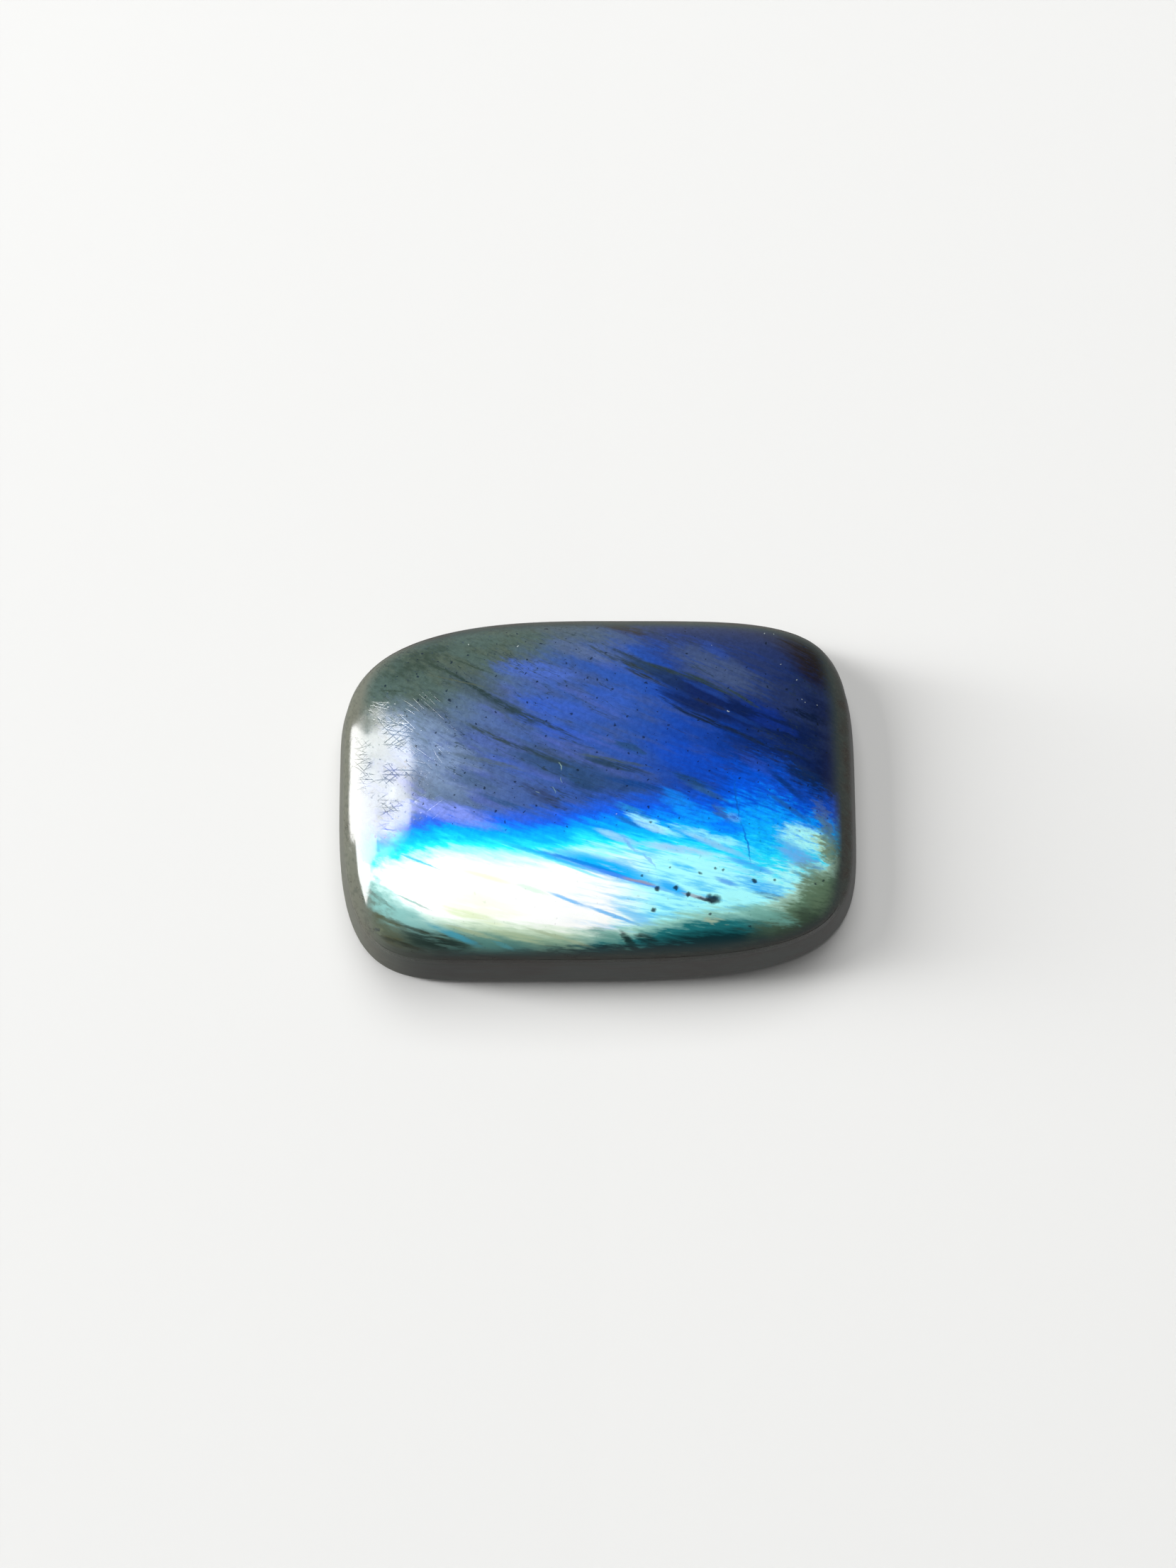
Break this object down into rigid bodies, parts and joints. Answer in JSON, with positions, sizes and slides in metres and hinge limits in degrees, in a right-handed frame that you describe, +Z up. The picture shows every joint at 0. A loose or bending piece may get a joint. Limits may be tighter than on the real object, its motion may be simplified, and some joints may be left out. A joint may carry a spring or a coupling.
{
  "type": "polished labradorite cabochon",
  "caption": "Polished labradorite stone: rounded-rectangle cushion with a low domed face, soft shoulder, leaning side wall and flat ground back.",
  "frame": {"origin": "middle of the flat back, on the surface that the stone rests on", "axes": "+X along the stone's length, +Z up through the domed face"},
  "size_m": [0.032, 0.0224, 0.0076],
  "materials": {
    "labradorite": "polished, with a blue to cyan-white flash over grey-green feldspar"
  },
  "bodies": {
    "root": {"labradorite_stone": "labradorite"}
  },
  "joints": []
}
